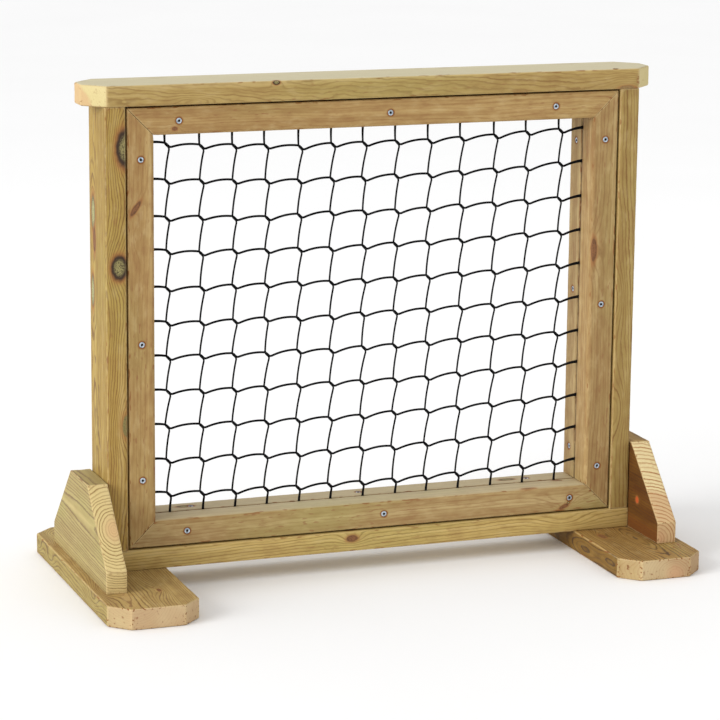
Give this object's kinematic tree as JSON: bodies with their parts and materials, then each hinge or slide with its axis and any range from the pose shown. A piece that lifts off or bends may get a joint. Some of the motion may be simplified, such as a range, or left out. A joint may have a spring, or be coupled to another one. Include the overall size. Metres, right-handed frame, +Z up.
{
  "type": "pitch back rebounder",
  "caption": "Free-standing timber rebounder: a black square-mesh net clamped in a mitred inner frame, set between two posts under a cap board, on two braced feet.",
  "frame": {"origin": "on the ground, under the middle of the frame", "axes": "+X along the frame to the right seen from the front, +Y from front to back, +Z up"},
  "size_m": [0.988, 0.494, 0.796],
  "materials": {
    "structural_timber": "planed, pressure-treated softwood, matt",
    "frame_timber": "planed, pressure-treated softwood, matt, smoother and pinker",
    "net_twine": "black knotless twisted twine",
    "zinc_screw": "bright zinc plate"
  },
  "bodies": {
    "root": {"foot_left": "structural_timber", "gusset_left": "structural_timber", "post_left": "structural_timber", "foot_right": "structural_timber", "gusset_right": "structural_timber", "post_right": "structural_timber", "bottom_rail": "structural_timber", "top_cap": "structural_timber", "front_frame_left": "frame_timber", "front_frame_right": "frame_timber", "front_frame_top": "frame_timber", "front_frame_bottom": "frame_timber", "rear_batten_left": "frame_timber", "rear_batten_right": "frame_timber", "rear_batten_top": "frame_timber", "rear_batten_bottom": "frame_timber", "net": "net_twine", "frame_screw_top_1": "zinc_screw", "frame_screw_top_2": "zinc_screw", "frame_screw_top_3": "zinc_screw", "frame_screw_bottom_1": "zinc_screw", "frame_screw_bottom_2": "zinc_screw", "frame_screw_bottom_3": "zinc_screw", "frame_screw_left_1": "zinc_screw", "frame_screw_left_2": "zinc_screw", "frame_screw_left_3": "zinc_screw", "frame_screw_right_1": "zinc_screw", "frame_screw_right_2": "zinc_screw", "frame_screw_right_3": "zinc_screw", "batten_screw_top_1": "zinc_screw", "batten_screw_top_2": "zinc_screw", "batten_screw_top_3": "zinc_screw", "batten_screw_bottom_1": "zinc_screw", "batten_screw_bottom_2": "zinc_screw", "batten_screw_bottom_3": "zinc_screw", "batten_screw_left_1": "zinc_screw", "batten_screw_left_2": "zinc_screw", "batten_screw_left_3": "zinc_screw", "batten_screw_right_1": "zinc_screw", "batten_screw_right_2": "zinc_screw", "batten_screw_right_3": "zinc_screw", "post_screw_left_front": "zinc_screw", "gusset_screw_left_front": "zinc_screw", "brace_screw_left_front": "zinc_screw", "post_screw_left_back": "zinc_screw", "gusset_screw_left_back": "zinc_screw", "brace_screw_left_back": "zinc_screw", "post_screw_right_front": "zinc_screw", "gusset_screw_right_front": "zinc_screw", "brace_screw_right_front": "zinc_screw", "post_screw_right_back": "zinc_screw", "gusset_screw_right_back": "zinc_screw", "brace_screw_right_back": "zinc_screw"}
  },
  "joints": []
}
